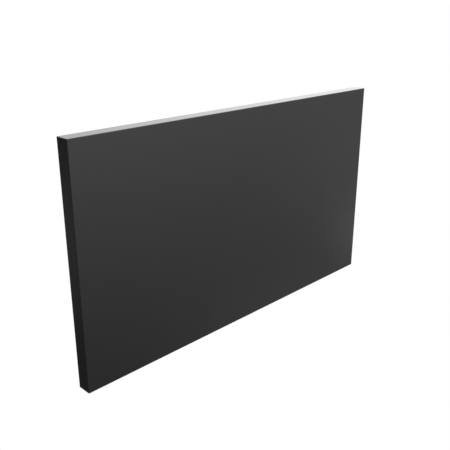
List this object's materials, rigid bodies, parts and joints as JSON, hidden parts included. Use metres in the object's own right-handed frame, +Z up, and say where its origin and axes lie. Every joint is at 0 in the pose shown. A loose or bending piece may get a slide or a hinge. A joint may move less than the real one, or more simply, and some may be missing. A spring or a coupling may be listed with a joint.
{
  "type": "kick plate",
  "caption": "Flat boxed kick plate in satin black for the foot of a door, hung on concealed hook rails and lifted off upwards for cleaning.",
  "frame": {"origin": "centre of the plate's outline, on the plane of the door's face that the door rails are screwed to", "axes": "+X along the plate's width, to the right as seen from the room; +Y into the door; +Z up. The visible face looks along -Y."},
  "size_m": [0.71, 0.0267, 0.4],
  "materials": {
    "powder_coated_steel": "satin",
    "adhesive": "matte",
    "plywood": "matte",
    "rail_aluminium": "satin",
    "nylon": "matte",
    "zinc_plated_steel": "satin",
    "foam_gasket": "matte",
    "buffer_rubber": "matte"
  },
  "bodies": {
    "door_side": {"door_rail_upper": "rail_aluminium", "door_rail_lower": "rail_aluminium", "rest_strip_upper": "nylon", "rest_strip_lower": "nylon", "end_cap_upper_left": "nylon", "end_cap_upper_right": "nylon", "end_cap_lower_left": "nylon", "end_cap_lower_right": "nylon"},
    "kick_plate": {"face_tray": "powder_coated_steel", "bond_layer": "adhesive", "core_board": "plywood", "hanger_rail_upper": "rail_aluminium", "hanger_rail_lower": "rail_aluminium", "hanger_screws_upper": "zinc_plated_steel", "hanger_screws_lower": "zinc_plated_steel", "gasket_top": "foam_gasket", "gasket_bottom": "foam_gasket", "gasket_left": "foam_gasket", "gasket_right": "foam_gasket", "kick_buffer_1": "buffer_rubber", "kick_buffer_2": "buffer_rubber", "kick_buffer_3": "buffer_rubber", "kick_buffer_4": "buffer_rubber", "buffer_screws": "zinc_plated_steel"}
  },
  "joints": [
    {"name": "lift_off", "type": "slide", "parent": "door_side", "child": "kick_plate", "axis": [0, 0, 1], "range_m": [0, 0.014]}
  ]
}
